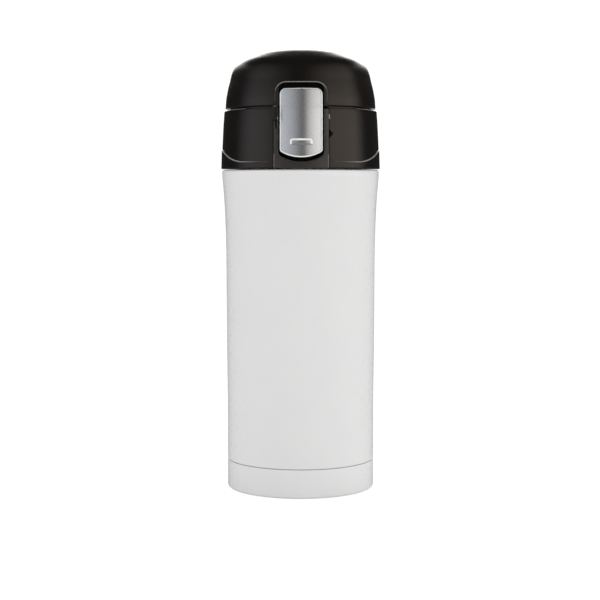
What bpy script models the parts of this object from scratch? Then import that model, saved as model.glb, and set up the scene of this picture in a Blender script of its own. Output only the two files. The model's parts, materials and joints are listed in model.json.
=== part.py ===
"""Insulated travel mug with a one-touch flip lid, at rest: lid screwed on, cap shut.

Units are metres, +Z is up, the base stands on z = 0 and the button faces -Y.
"""

import math

import bpy
from mathutils import Matrix, Vector

MM = 0.001
GAP = 0.3  # between pieces that touch in the real mug, mm

# Driving dimensions, mm
SEGMENTS = 36
BASE_RADIUS = 33.0
BASE_HEIGHT = 12.8
SHEET = 0.6  # thickness of the steel walls
NECK_TOP = 157.0
NECK_RADIUS = 22.4
LINER_RADIUS = 29.6
LINER_NECK_RADIUS = 21.0
THREAD_LEAD = 5.0
THREAD_START = 147.6
THREAD_CREST = 23.4
RING_ROOT = 23.9
RING_CREST = 22.75
RING_OUTER = 26.0
LID_BOTTOM = 143.4
COLLAR_INNER = 32.2
DECK_LOW = 163.0
DECK_HIGH = 165.0
DECK_HOLE = 20.8
SEAM_LOW = 168.9
SEAM_HIGH = 170.0
PLUG_RADIUS = 19.9
PLUG_BORE = 18.3
SPOUT_RADIUS = 20.4
PLATE_LOW = 174.2  # the mouthpiece's top plate
PLATE_HIGH = 176.0
DRINK_HALF = (6.0, 4.2)  # half-axes of the drink hole
DRINK_Y = -7.0
VENT_RADIUS = 1.3
VENT_Y = 8.6
BUTTON_HALF = 9.2
BUTTON_BOTTOM = 148.1
BUTTON_TOP = 177.7
BUTTON_SKIN = 1.4  # thickness of the button's silver face
BUTTON_PIVOT = (-28.4, 166.0)  # y, z
BUTTON_PIN_RADIUS = 1.0
FRAME_INNER = 9.95
FRAME_OUTER = 11.75
ARCH_HALF = 11.45
ARCH_TOP = 180.6
ARCH_RADIUS = 4.3
POCKET_FRONT = 31.0  # outer radius of the walls round the button's top, inside the cap's wall
LEVER_HALF = 7.0
LEVER_BACK = 3.1  # depth of the lever plate's back below the lid's outer line
LATCH_HALF = 4.0
CHEEK_X = (10.05, 11.6)
KNOB_X = (-12.5, -9.85)
KNOB_Z = (163.6, 170.0)
KNOB_ROUND = 0.8
CAP_PIVOT = (35.5, 169.0)  # y, z
HINGE_PIN_RADIUS = 1.2
EAR_X = (8.3, 11.6)
KNUCKLE_X = (4.5, 8.0)
CAP_TUBE = (18.4, 20.0)  # inner and outer radius of the tube that holds the cap's liner up
RUNNING = 0.08  # radial clearance of a hole round its pin
THROUGH = 14.0  # reach in x of the drills for the pins
FRONT = -40.0  # y of a cutter's far face, clear of the lid

# Outer radius of the lid at each height: (z, r)
LID_LINE = [
    (143.4, 35.5),
    (144.8, 35.6),
    (150.0, 35.45),
    (153.0, 35.0),
    (157.0, 34.8),
    (161.0, 34.6),
    (165.0, 34.35),
    (168.9, 34.0),
    (170.0, 33.75),
    (174.0, 33.3),
    (177.0, 32.8),
    (179.5, 32.25),
    (182.0, 31.65),
]

MATERIALS = {
    "white_coat": ((0.86, 0.87, 0.87), 0.22, 0.0),
    "bare_steel": ((0.62, 0.62, 0.61), 0.3, 1.0),
    "black_satin": ((0.035, 0.034, 0.034), 0.42, 0.0),
    "black_gloss": ((0.04, 0.039, 0.039), 0.2, 0.0),
    "black_inner": ((0.05, 0.05, 0.051), 0.5, 0.0),
    "silver_satin": ((0.6, 0.6, 0.62), 0.3, 0.8),
    "silicone_grey": ((0.55, 0.56, 0.57), 0.6, 0.0),
    "pin_steel": ((0.7, 0.7, 0.7), 0.2, 1.0),
    "getter_alloy": ((0.33, 0.32, 0.31), 0.6, 1.0),
    "seal_bead": ((0.3, 0.28, 0.24), 0.25, 0.0),
}


def clear_scene():
    for obj in list(bpy.data.objects):
        bpy.data.objects.remove(obj, do_unlink=True)


def material(slot):
    found = bpy.data.materials.get(slot)
    if found:
        return found
    color, roughness, metallic = MATERIALS[slot]
    made = bpy.data.materials.new(slot)
    made.use_nodes = True
    shader = made.node_tree.nodes["Principled BSDF"]
    shader.inputs["Base Color"].default_value = (*color, 1.0)
    shader.inputs["Roughness"].default_value = roughness
    shader.inputs["Metallic"].default_value = metallic
    return made


# Mesh builders. Every one takes millimetres and returns a closed mesh facing out.


def mesh_object(name, points, faces):
    mesh = bpy.data.meshes.new(name)
    mesh.from_pydata([Vector(p) * MM for p in points], [], faces)
    mesh.shade_smooth()
    mesh.set_sharp_from_angle(angle=math.radians(32))
    obj = bpy.data.objects.new(name, mesh)
    bpy.context.scene.collection.objects.link(obj)
    return obj


def revolve(name, profile, segments=SEGMENTS, centre=(0.0, 0.0)):
    """Turns a closed (r, z) loop, listed anticlockwise, about a vertical axis."""
    points, rings = [], []
    for r, z in profile:
        if r == 0:
            rings.append([len(points)] * segments)
            points.append((centre[0], centre[1], z))
            continue
        rings.append(list(range(len(points), len(points) + segments)))
        for k in range(segments):
            a = 2 * math.pi * k / segments
            points.append((centre[0] + r * math.cos(a), centre[1] + r * math.sin(a), z))
    faces = []
    for i, low in enumerate(rings):
        high = rings[(i + 1) % len(rings)]
        for k in range(segments):
            n = (k + 1) % segments
            quad = list(dict.fromkeys([low[k], low[n], high[n], high[k]]))
            if len(quad) > 2:
                faces.append(quad)
    return mesh_object(name, points, faces)


def prism_y(name, outline, y0, y1):
    """Extrudes an (x, z) outline, anticlockwise as seen from the front, from y0 back to y1."""
    n = len(outline)
    points = [(x, y0, z) for x, z in outline] + [(x, y1, z) for x, z in outline]
    faces = [list(range(n)), list(range(2 * n - 1, n - 1, -1))]
    faces += [[i, i + n, (i + 1) % n + n, (i + 1) % n] for i in range(n)]
    return mesh_object(name, points, faces)


def prism_x(name, outline, x0, x1):
    """Extrudes a (y, z) outline, anticlockwise as seen from +X, from x0 to x1."""
    n = len(outline)
    points = [(x0, y, z) for y, z in outline] + [(x1, y, z) for y, z in outline]
    faces = [list(range(n - 1, -1, -1)), list(range(n, 2 * n))]
    faces += [[i, (i + 1) % n, (i + 1) % n + n, i + n] for i in range(n)]
    return mesh_object(name, points, faces)


def box(name, x0, x1, y0, y1, z0, z1):
    return prism_y(name, [(x0, z0), (x1, z0), (x1, z1), (x0, z1)], y0, y1)


def rod_x(name, pivot, radius, x0, x1, sides=24):
    turn = [2 * math.pi * k / sides for k in range(sides)]
    outline = [(pivot[0] + radius * math.cos(a), pivot[1] + radius * math.sin(a)) for a in turn]
    return prism_x(name, outline, x0, x1)


def ridge(name, r_in, r_out, half_in, half_out, z_start, turn_from, turn_to, r_faded):
    """A helical ridge of one thread. Its ends fade to r_faded on the side that has the crest."""
    steps = round((turn_to - turn_from) * SEGMENTS)
    crest_outside = half_in > half_out
    points, faces = [], []
    for k in range(steps + 1):
        turn = turn_from + (turn_to - turn_from) * k / steps
        a = 2 * math.pi * turn
        z = z_start + THREAD_LEAD * turn
        fade = min(1.0, 0.05 + min(k, steps - k) / 5)
        inner, outer = r_in, r_out
        if crest_outside:
            outer = r_faded + (r_out - r_faded) * fade
        else:
            inner = r_faded + (r_in - r_faded) * fade
        section = [(inner, -half_in), (outer, -half_out), (outer, half_out), (inner, half_in)]
        points += [(r * math.cos(a), r * math.sin(a), z + h) for r, h in section]
    for k in range(steps):
        for i in range(4):
            j = (i + 1) % 4
            faces.append([4 * k + i, 4 * k + 4 + i, 4 * k + 4 + j, 4 * k + j])
    faces.append([0, 1, 2, 3])
    faces.append([4 * steps + 3, 4 * steps + 2, 4 * steps + 1, 4 * steps])
    return mesh_object(name, points, faces)


def wire(name, path, radius, sides=6):
    """A round wire along a path, with flat ends."""
    path = [Vector(p) for p in path]
    points, faces = [], []
    side = Vector((0.31, 0.52, 0.79))
    for i, p in enumerate(path):
        along = (path[min(i + 1, len(path) - 1)] - path[max(i - 1, 0)]).normalized()
        side = (side - along * side.dot(along)).normalized()
        other = along.cross(side)
        for k in range(sides):
            a = 2 * math.pi * k / sides
            points.append(p + radius * (math.cos(a) * side + math.sin(a) * other))
    for i in range(len(path) - 1):
        for k in range(sides):
            n = (k + 1) % sides
            a, b = i * sides, (i + 1) * sides
            faces.append([a + k, a + n, b + n, b + k])
    faces.append(list(range(sides - 1, -1, -1)))
    last = (len(path) - 1) * sides
    faces.append(list(range(last, last + sides)))
    return mesh_object(name, points, faces)


def helper(obj):
    obj.hide_render = True
    obj.display_type = "WIRE"
    return obj


def boolean(target, operation, *others):
    for other in others:
        modifier = target.modifiers.new(other.name, "BOOLEAN")
        modifier.operation = operation
        modifier.solver = "EXACT"
        modifier.object = helper(other)


def finish(obj, slot, pivot=None):
    obj.data.materials.append(material(slot))
    if pivot is not None:
        obj.parent = pivot
        obj.matrix_parent_inverse = Matrix.Translation(-pivot.location)
    return obj


def pivot_empty(name, x, y, z):
    empty = bpy.data.objects.new(name, None)
    empty.location = Vector((x, y, z)) * MM
    empty.empty_display_size = 0.01
    bpy.context.scene.collection.objects.link(empty)
    return empty


def lid_radius(z):
    for (z0, r0), (z1, r1) in zip(LID_LINE, LID_LINE[1:]):
        if z <= z1:
            return r0 + (r1 - r0) * (z - z0) / (z1 - z0)
    return LID_LINE[-1][1]


def lid_band(name, z0, z1, inset, outset):
    """A ring that follows the lid's outer line from z0 to z1, between two offsets from it."""
    heights = [z0] + [z for z, _ in LID_LINE if z0 < z < z1] + [z1]
    outer = [(lid_radius(z) + outset, z) for z in heights]
    inner = [(lid_radius(z) - inset, z) for z in reversed(heights)]
    return revolve(name, outer + inner, 2 * SEGMENTS)


def corner(x, z, radius, start, steps=5):
    """Quarter-turn corner points about (x, z), anticlockwise from the start angle in degrees."""
    turn = [math.radians(start + 90 * k / steps) for k in range(steps + 1)]
    return [(x + radius * math.cos(a), z + radius * math.sin(a)) for a in turn]


def button_outline(half, bottom, top, top_radius, sag, steps=10):
    """Straight sides, rounded top corners and a bottom edge that bows down by sag."""
    xs = [-half + 2 * half * k / steps for k in range(steps + 1)]
    points = [(x, bottom + sag * (x / half) ** 2) for x in xs]
    points += corner(half - top_radius, top - top_radius, top_radius, 0)
    points += corner(-half + top_radius, top - top_radius, top_radius, 90)
    return points


# Flask: outer shell, base, liner


def build_flask():
    shell = revolve(
        "outer_shell",
        [
            (31.4, 4.4),
            (31.4 + SHEET, 4.4),
            (31.4 + SHEET, 12.95),
            (BASE_RADIUS, 13.2),
            (BASE_RADIUS, 40.0),
            (33.3, 70.0),
            (33.35, 103.0),
            (33.7, 117.0),
            (34.12, 128.0),
            (34.65, 135.0),
            (35.1, 140.4),
            (34.9, 142.1),
            (33.4, 143.0),
            (24.4, 143.0),
            (22.9, 143.6),
            (NECK_RADIUS, 145.0),
            (NECK_RADIUS, NECK_TOP),
            (NECK_RADIUS - SHEET, NECK_TOP),
            (NECK_RADIUS - SHEET, 144.6),
            (22.5, 142.9),
            (24.2, 142.4),
            (33.4, 142.3),
            (34.5, 140.2),
            (33.6, 128.0),
            (32.75, 103.0),
            (BASE_RADIUS - SHEET, 40.0),
            (BASE_RADIUS - SHEET, 13.7),
            (31.4, 13.4),
        ],
    )
    thread = ridge(
        "neck_thread", NECK_RADIUS - 0.3, THREAD_CREST, 0.9, 0.4, THREAD_START, 0.0, 1.5, NECK_RADIUS + 0.1
    )
    boolean(shell, "UNION", thread)
    finish(shell, "white_coat")

    base = revolve(
        "base_cup",
        [
            (0.0, 0.0),
            (24.0, 0.0),
            (24.6, 0.4),
            (27.4, 0.4),
            (28.0, 0.0),
            (31.2, 0.0),
            (32.2, 0.35),
            (32.8, 1.0),
            (BASE_RADIUS, 2.0),
            (BASE_RADIUS, BASE_HEIGHT),
            (32.3, BASE_HEIGHT),
            (32.3, 2.4),
            (31.2, 1.4),
            (0.0, 1.4),
        ],
    )
    finish(base, "white_coat")

    bottom = revolve(
        "outer_bottom",
        [
            (1.3, 6.4),
            (5.0, 6.4),
            (6.0, 5.6),
            (30.5, 5.6),
            (30.5, 4.6),
            (31.1, 4.6),
            (31.1, 6.2),
            (6.4, 6.2),
            (5.4, 7.0),
            (1.3, 7.0),
        ],
    )
    finish(bottom, "bare_steel")

    bead = revolve(
        "vacuum_port_seal",
        [(0.0, 5.4), (1.7, 5.4), (2.2, 5.7), (2.2, 6.1), (1.0, 6.1), (1.0, 7.2), (0.0, 7.2)],
        24,
    )
    finish(bead, "seal_bead")

    liner = revolve(
        "inner_liner",
        [
            (0.0, 9.4),
            (26.5, 9.4),
            (28.8, 10.3),
            (LINER_RADIUS, 12.6),
            (LINER_RADIUS, 133.0),
            (28.6, 137.0),
            (22.6, 140.6),
            (LINER_NECK_RADIUS, 143.5),
            (LINER_NECK_RADIUS, NECK_TOP + GAP),
            (NECK_RADIUS, NECK_TOP + GAP),
            (NECK_RADIUS, NECK_TOP + GAP + SHEET),
            (20.5, NECK_TOP + GAP + SHEET),
            (20.5, 143.3),
            (22.2, 140.1),
            (28.1, 136.7),
            (LINER_RADIUS - SHEET, 132.9),
            (LINER_RADIUS - SHEET, 12.8),
            (26.3, 10.0),
            (0.0, 10.0),
        ],
    )
    finish(liner, "bare_steel")

    getter = revolve(
        "getter_capsule", [(0.0, 6.6), (4.0, 6.6), (4.0, 9.1), (0.0, 9.1)], 24, centre=(14.0, 0.0)
    )
    finish(getter, "getter_alloy")


# Lid: collar with the thread ring and the mouthpiece in it


def build_neck_gasket(axis):
    gasket = revolve(
        "neck_gasket", [(20.6, 158.2), (22.8, 158.2), (23.2, 159.05), (22.8, 159.9), (20.6, 159.9)]
    )
    finish(gasket, "silicone_grey", axis)


def hinge_ear(side):
    x0, x1 = sorted(side * x for x in EAR_X)
    web = prism_x(
        f"ear_web_{side}",
        [(31.0, 158.4), (33.9, 158.4), (37.6, 167.6), (36.6, 169.3), (34.0, 169.6), (31.0, 168.6)],
        x0,
        x1,
    )
    return [web, rod_x(f"ear_eye_{side}", CAP_PIVOT, 2.6, x0, x1)]


def build_collar(axis):
    collar = revolve(
        "lid_collar",
        [
            (COLLAR_INNER, LID_BOTTOM),
            (35.3, LID_BOTTOM),
            (35.6, 144.8),
            (35.45, 150.2),
            (35.15, 151.0),
            (35.0, 153.0),
            (34.8, 157.0),
            (34.35, 165.0),
            (34.2, 167.9),
            (33.8, SEAM_LOW),
            (31.8, SEAM_LOW),
            (31.8, DECK_HIGH),
            (DECK_HOLE, DECK_HIGH),
            (DECK_HOLE, DECK_LOW),
            (31.0, DECK_LOW),
            (COLLAR_INNER, 161.8),
        ],
    )
    side = FRAME_OUTER + GAP
    rear = KNUCKLE_X[1] + GAP / 2
    boolean(
        collar,
        "DIFFERENCE",
        box("front_notch", -side, side, FRONT, -26.0, 140.0, 172.0),
        box("rear_notch", -rear, rear, 28.0, 42.0, DECK_HIGH + GAP, 172.0),
    )
    boolean(collar, "UNION", *hinge_ear(-1), *hinge_ear(1))
    boolean(
        collar,
        "DIFFERENCE",
        rod_x("ear_hole", CAP_PIVOT, HINGE_PIN_RADIUS + RUNNING, -THROUGH, THROUGH),
    )
    finish(collar, "black_satin", axis)


def build_thread_ring(axis):
    ring = revolve(
        "thread_ring",
        [
            (RING_ROOT, 146.4),
            (RING_OUTER, 146.4),
            (RING_OUTER, DECK_LOW - GAP),
            (RING_ROOT, DECK_LOW - GAP),
        ],
    )
    thread = ridge(
        "ring_thread",
        RING_CREST,
        RING_ROOT + 0.3,
        0.4,
        0.9,
        THREAD_START + THREAD_LEAD / 2,
        -0.2,
        0.8,
        RING_ROOT - 0.1,
    )
    boolean(ring, "UNION", thread)
    finish(ring, "black_inner", axis)


def build_mouthpiece(axis):
    piece = revolve(
        "mouthpiece",
        [
            (PLUG_BORE, 149.0),
            (19.6, 149.0),
            (PLUG_RADIUS, 149.8),
            (PLUG_RADIUS, 160.2),
            (23.2, 160.2),
            (23.2, 161.6),
            (SPOUT_RADIUS, 161.6),
            (SPOUT_RADIUS, 166.0),
            (19.6, 170.0),
            (17.6, 174.2),
            (15.6, 177.2),
            (14.4, 178.0),
            (13.3, 177.5),
            (12.9, PLATE_HIGH),
            (0.0, PLATE_HIGH),
            (0.0, PLATE_LOW),
            (13.8, PLATE_LOW),
            (15.9, 172.4),
            (17.9, 169.2),
            (18.7, 165.6),
            (PLUG_BORE, 161.0),
        ],
    )
    turn = [2 * math.pi * (k + 0.5) / 28 for k in range(28)]
    oval = [(DRINK_HALF[0] * math.cos(a), DRINK_HALF[1] * math.sin(a)) for a in turn]
    drink = prism_y("drink_cut", oval, -5.0, 5.0)
    # Stands the oval prism on end, over the front half of the plate.
    drink.data.transform(Matrix.Rotation(math.radians(-90), 4, "X"))
    drink.data.transform(Matrix.Translation(Vector((0.0, DRINK_Y, 175.0)) * MM))
    low, high = PLATE_LOW - 2.0, PLATE_HIGH + 2.0
    hole = [(0.0, low), (VENT_RADIUS, low), (VENT_RADIUS, high), (0.0, high)]
    vent = revolve("vent_cut", hole, 14, (0.0, VENT_Y))
    boolean(piece, "DIFFERENCE", drink, vent)
    finish(piece, "black_inner", axis)

    inner, outer = SPOUT_RADIUS + GAP, 22.9
    low, high = 161.6 + GAP, DECK_LOW - GAP
    gasket = revolve("mouthpiece_gasket", [(inner, low), (outer, low), (outer, high), (inner, high)])
    finish(gasket, "silicone_grey", axis)


# Button frame, button, lock


def build_bezel(axis):
    bezel = lid_band("button_bezel", 143.7, 168.7, 2.0, 0.2)
    boolean(bezel, "INTERSECT", box("frame_outline", -FRAME_OUTER, FRAME_OUTER, FRONT, -20.0, 140.0, 172.0))
    sill = BUTTON_BOTTOM - 1.8
    boolean(
        bezel,
        "DIFFERENCE",
        prism_y("button_gap", button_outline(FRAME_INNER, sill, 175.0, 2.0, 2.7), FRONT, -20.0),
    )
    boolean(
        bezel,
        "UNION",
        box("cheek_left", -CHEEK_X[1], -CHEEK_X[0], -32.3, -27.2, 144.1, 168.4),
        box("cheek_right", *CHEEK_X, -32.3, -27.2, 144.2, 168.5),
        box("bezel_floor", -11.3, 11.3, -33.1, -27.4, 143.95, 145.2),
    )
    boolean(
        bezel,
        "DIFFERENCE",
        rod_x("bezel_pin_hole", BUTTON_PIVOT, BUTTON_PIN_RADIUS + RUNNING, -THROUGH, THROUGH),
        box("lock_slot", -11.2, -10.4, FRONT, -30.6, 160.3, 168.1),
        box("lock_channel", -12.2, -9.6, -31.3, -30.15, 159.2, 171.0),
    )
    finish(bezel, "black_gloss", axis)

    pin = rod_x("button_pin", BUTTON_PIVOT, BUTTON_PIN_RADIUS, -11.2, 11.2)
    finish(pin, "pin_steel", axis)


def build_button(axis):
    face = lid_band("button_face", 144.0, 181.0, BUTTON_SKIN, 0.1)
    outline = button_outline(BUTTON_HALF, BUTTON_BOTTOM, BUTTON_TOP, 2.0, 2.5)
    boolean(face, "INTERSECT", prism_y("face_outline", outline, FRONT, -20.0))
    finish(face, "silver_satin", axis)

    front = BUTTON_SKIN + GAP
    lever = lid_band("button_lever", 150.8, 176.2, LEVER_BACK, -front)
    boolean(lever, "INTERSECT", box("lever_outline", -LEVER_HALF, LEVER_HALF, FRONT, -20.0, 140.0, 185.0))
    y, z = BUTTON_PIVOT
    web, eye = LEVER_HALF - 0.2, LEVER_HALF - 0.3
    boolean(
        lever,
        "UNION",
        box("lever_web", -web, web, -31.4, y, z - 1.7, z + 1.7),
        rod_x("lever_eye", BUTTON_PIVOT, 2.0, -eye, eye),
        box("lever_hook", -LATCH_HALF, LATCH_HALF, -30.6, -27.6, 173.8, 175.2),
    )
    boolean(
        lever,
        "DIFFERENCE",
        rod_x("lever_hole", BUTTON_PIVOT, BUTTON_PIN_RADIUS + RUNNING, -THROUGH, THROUGH),
    )
    finish(lever, "black_inner", axis)


def build_button_spring(axis):
    y0, y1, height = -31.3, -26.5, 153.5
    radius, wire_radius, turns = 2.2, 0.3, 4
    steps = 12 * turns
    path = []
    for k in range(steps + 1):
        a = 2 * math.pi * turns * k / steps
        y = y0 + (y1 - y0) * k / steps
        path.append((radius * math.cos(a), y, height + radius * math.sin(a)))
    finish(wire("button_spring", path, wire_radius), "pin_steel", axis)


def build_lock(axis):
    z0, z1 = KNOB_Z
    x0, x1 = KNOB_X
    r = KNOB_ROUND
    lock = lid_band("lock_slider", z0, z1, -0.5, 1.9)
    outline = corner(x0 + r, z0 + r, r, 180, 3) + corner(x1 - r, z0 + r, r, 270, 3)
    outline += corner(x1 - r, z1 - r, r, 0, 3) + corner(x0 + r, z1 - r, r, 90, 3)
    boolean(lock, "INTERSECT", prism_y("knob_outline", outline, FRONT, -20.0))
    boolean(
        lock,
        "UNION",
        box("lock_stem", -11.0, -10.6, -33.8, -30.5, 165.2, 167.7),
        box("lock_arm", -11.45, -10.1, -30.95, -30.4, 164.0, 168.3),
    )
    finish(lock, "black_inner", axis)


# Cap and its hinge


def knuckle(side):
    x0, x1 = sorted(side * x for x in KNUCKLE_X)
    web = box(f"knuckle_web_{side}", x0 + 0.05, x1 - 0.05, 31.9, CAP_PIVOT[0] + 0.4, 170.3, 173.6)
    root = prism_x(
        f"knuckle_root_{side}",
        [(33.4, 168.6), (37.4, 168.6), (37.2, 171.4), (35.6, 173.5), (32.2, 173.0), (32.4, 170.6)],
        x0,
        x1,
    )
    return [web, root, rod_x(f"knuckle_eye_{side}", CAP_PIVOT, 2.55, x0, x1)]


def build_cap(axis):
    cap = revolve(
        "flip_cap",
        [
            (29.9, 167.6),
            (31.45, 167.6),
            (31.45, SEAM_HIGH),
            (33.6, SEAM_HIGH),
            (33.3, 174.0),
            (32.8, 177.0),
            (32.25, 179.5),
            (31.65, 182.0),
            (30.85, 185.2),
            (29.95, 187.7),
            (29.0, 189.35),
            (27.65, 190.65),
            (25.8, 191.75),
            (22.4, 193.35),
            (19.5, 194.5),
            (15.5, 195.6),
            (12.0, 196.22),
            (8.0, 196.68),
            (0.0, 197.1),
            (0.0, 195.1),
            (8.0, 194.65),
            (15.0, 193.5),
            (22.0, 191.2),
            (25.2, 189.6),
            (27.4, 187.8),
            (29.1, 184.6),
            (29.9, 181.6),
            (30.8, 176.8),
            (30.9, 174.4),
            (29.9, 172.4),
        ],
    )
    pocket = box("pocket_walls", -11.3, 11.3, FRONT, -24.8, 169.4, 181.3)
    rounding = [(0.0, 169.0), (POCKET_FRONT, 169.0), (POCKET_FRONT, 182.0), (0.0, 182.0)]
    boolean(pocket, "INTERSECT", revolve("pocket_rounding", rounding, 2 * SEGMENTS))
    arch = lid_band("arch_band", SEAM_HIGH + 0.05, 182.0, 1.2, 0.3)
    contour = [(-ARCH_HALF, 165.0), (ARCH_HALF, 165.0)]
    contour += corner(ARCH_HALF - ARCH_RADIUS, ARCH_TOP - ARCH_RADIUS, ARCH_RADIUS, 0, 7)
    contour += corner(ARCH_RADIUS - ARCH_HALF, ARCH_TOP - ARCH_RADIUS, ARCH_RADIUS, 90, 7)
    boolean(arch, "INTERSECT", prism_y("arch_outline", contour, FRONT, -20.0))
    boolean(cap, "UNION", pocket, arch, *knuckle(-1), *knuckle(1))
    boolean(
        cap,
        "DIFFERENCE",
        prism_y("pocket_gap", button_outline(FRAME_INNER, 160.0, 179.7, 2.6, 1.0), FRONT, -26.3),
        box("skirt_notch", -12.1, 12.1, FRONT, -22.0, 160.0, 169.6),
        rod_x("knuckle_hole", CAP_PIVOT, HINGE_PIN_RADIUS + RUNNING, -THROUGH, THROUGH),
    )
    half = LATCH_HALF + GAP
    boolean(cap, "UNION", box("catch_ledge", -half, half, -27.2, -25.6, 171.6, 173.3))
    finish(cap, "black_satin", axis)

    liner = revolve(
        "cap_liner",
        [
            (0.0, 178.8),
            (23.7, 178.8),
            (24.3, 179.4),
            (24.3, 180.3),
            (CAP_TUBE[1], 180.3),
            (CAP_TUBE[1], 190.6),
            (CAP_TUBE[0], 190.6),
            (CAP_TUBE[0], 180.3),
            (0.0, 180.3),
        ],
    )
    finish(liner, "black_inner", axis)

    seal = revolve(
        "cap_seal",
        [
            (0.0, 176.6),
            (9.0, 176.6),
            (9.6, 176.3),
            (11.6, 176.3),
            (12.0, 176.8),
            (11.4, 178.5),
            (0.0, 178.5),
        ],
    )
    finish(seal, "silicone_grey", axis)


def build_hinge(axis):
    pin = rod_x("hinge_pin", CAP_PIVOT, HINGE_PIN_RADIUS, -11.5, 11.5)
    finish(pin, "pin_steel", axis)
    y, z = CAP_PIVOT
    radius, wire_radius, half, turns = 1.62, 0.27, 3.8, 7
    # The first leg leaves the top of the coil for the cap, the last leaves its bottom for the collar.
    steps = 10 * turns + 5
    path = [(half, y - 1.3, z + radius)]
    for k in range(steps + 1):
        a = math.pi / 2 - 2 * math.pi * (turns + 0.5) * k / steps
        x = half - 2 * half * k / steps
        path.append((x, y + radius * math.cos(a), z + radius * math.sin(a)))
    path.append((-half, y - 1.3, z - radius))
    finish(wire("hinge_spring", path, wire_radius), "pin_steel", axis)


def main():
    clear_scene()
    build_flask()
    screw_axis = pivot_empty("screw_axis", 0.0, 0.0, NECK_TOP)
    build_neck_gasket(screw_axis)
    build_collar(screw_axis)
    build_thread_ring(screw_axis)
    build_mouthpiece(screw_axis)
    build_bezel(screw_axis)
    build_button_spring(screw_axis)
    build_hinge(screw_axis)
    build_button(pivot_empty("button_axis", 0.0, *BUTTON_PIVOT))
    build_cap(pivot_empty("cap_axis", 0.0, *CAP_PIVOT))
    build_lock(pivot_empty("lock_axis", -10.8, -34.0, 166.8))


main()
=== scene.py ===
"""Looks of the insulated travel mug: fine meshes, materials, stage, lights and camera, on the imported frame.

Lengths below are in millimetres and MM turns them into the frame's metres. The button faces -Y.
"""

import json
import math

import bmesh
import bpy
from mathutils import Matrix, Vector


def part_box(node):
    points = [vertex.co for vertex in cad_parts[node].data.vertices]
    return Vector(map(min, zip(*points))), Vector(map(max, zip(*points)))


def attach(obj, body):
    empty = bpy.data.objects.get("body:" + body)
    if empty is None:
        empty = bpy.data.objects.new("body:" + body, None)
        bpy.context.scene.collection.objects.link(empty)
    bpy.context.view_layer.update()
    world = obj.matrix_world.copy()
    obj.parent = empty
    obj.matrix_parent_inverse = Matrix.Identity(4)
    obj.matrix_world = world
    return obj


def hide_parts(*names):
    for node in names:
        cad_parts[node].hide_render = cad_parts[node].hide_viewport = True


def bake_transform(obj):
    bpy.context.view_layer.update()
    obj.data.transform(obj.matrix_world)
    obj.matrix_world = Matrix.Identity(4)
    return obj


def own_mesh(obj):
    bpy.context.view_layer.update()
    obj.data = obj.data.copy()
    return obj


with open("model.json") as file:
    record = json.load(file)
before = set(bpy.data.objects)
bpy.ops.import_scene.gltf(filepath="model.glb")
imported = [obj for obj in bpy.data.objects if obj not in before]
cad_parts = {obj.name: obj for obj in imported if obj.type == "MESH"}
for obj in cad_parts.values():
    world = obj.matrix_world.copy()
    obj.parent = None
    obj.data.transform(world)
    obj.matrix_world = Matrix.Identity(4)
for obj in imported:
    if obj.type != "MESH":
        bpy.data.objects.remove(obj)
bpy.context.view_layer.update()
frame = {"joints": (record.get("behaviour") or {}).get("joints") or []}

MM = 0.001
ROUND = 192  # columns round a large turned piece

# What the frame says, mm


def box_mm(node):
    low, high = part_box(node)
    return [v / MM for v in low], [v / MM for v in high]


FACE_LOW, FACE_HIGH = box_mm("button_face")
LID_BOTTOM = box_mm("lid_collar")[0][2]
CAP_TOP = box_mm("flip_cap")[1][2]
BUTTON_BOTTOM, BUTTON_TOP, BUTTON_HALF = FACE_LOW[2], FACE_HIGH[2], FACE_HIGH[0]
JOINTS = {joint["name"]: joint for joint in frame["joints"]}
HINGE_Y, HINGE_Z = (v / MM for v in JOINTS["cap_hinge"]["pos_m"][1:])
PIVOT_Y, PIVOT_Z = (v / MM for v in JOINTS["button_press"]["pos_m"][1:])

SEAM_LOW, SEAM_HIGH = 168.9, 170.0  # the parting line between collar and cap
FRAME_INNER, FRAME_OUTER = 9.75, 11.75  # half widths of the frame round the button
ARCH_HALF, ARCH_TOP, ARCH_RADIUS = 11.45, 180.6, 5.0  # the arch that carries the frame over the button
PITCH = 5.0  # the screw thread's rise in one turn

# Outlines, mm


def spline(points, step=1.0):
    """A smooth curve through the points, as a list about one step apart."""
    out = []
    n = len(points)
    for i in range(n - 1):
        p0 = points[max(i - 1, 0)]
        p1, p2 = points[i], points[i + 1]
        p3 = points[min(i + 2, n - 1)]
        count = max(1, round(math.dist(p1, p2) / step))
        for k in range(count):
            t = k / count
            point = []
            for a, b, c, d in zip(p0, p1, p2, p3):
                curve = (2 * a - 5 * b + 4 * c - d) * t**2 + (3 * b - a - 3 * c + d) * t**3
                point.append(0.5 * (2 * b + (c - a) * t + curve))
            out.append(tuple(point))
    out.append(tuple(points[-1]))
    return out


def rounded(corners, arc=6):
    """A closed outline from (u, v) or (u, v, radius) corners, with each radius as an arc."""
    out = []
    n = len(corners)
    for i, corner in enumerate(corners):
        here = Vector(corner[:2])
        radius = corner[2] if len(corner) > 2 else 0
        to_last = Vector(corners[i - 1][:2]) - here
        to_next = Vector(corners[(i + 1) % n][:2]) - here
        turn = to_last.angle(to_next, math.pi)
        if not radius or turn > math.pi - 0.01:
            out.append(tuple(here))
            continue
        reach = min(radius / math.tan(turn / 2), 0.48 * to_last.length, 0.48 * to_next.length)
        radius = reach * math.tan(turn / 2)
        bisector = (to_last.normalized() + to_next.normalized()).normalized()
        centre = here + bisector * (radius / math.sin(turn / 2))
        start = here + to_last.normalized() * reach - centre
        sweep = start.angle_signed(here + to_next.normalized() * reach - centre)
        for k in range(arc + 1):
            a = -sweep * k / arc
            x = start.x * math.cos(a) - start.y * math.sin(a)
            y = start.x * math.sin(a) + start.y * math.cos(a)
            out.append(tuple(centre + Vector((x, y))))
    return out


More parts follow.
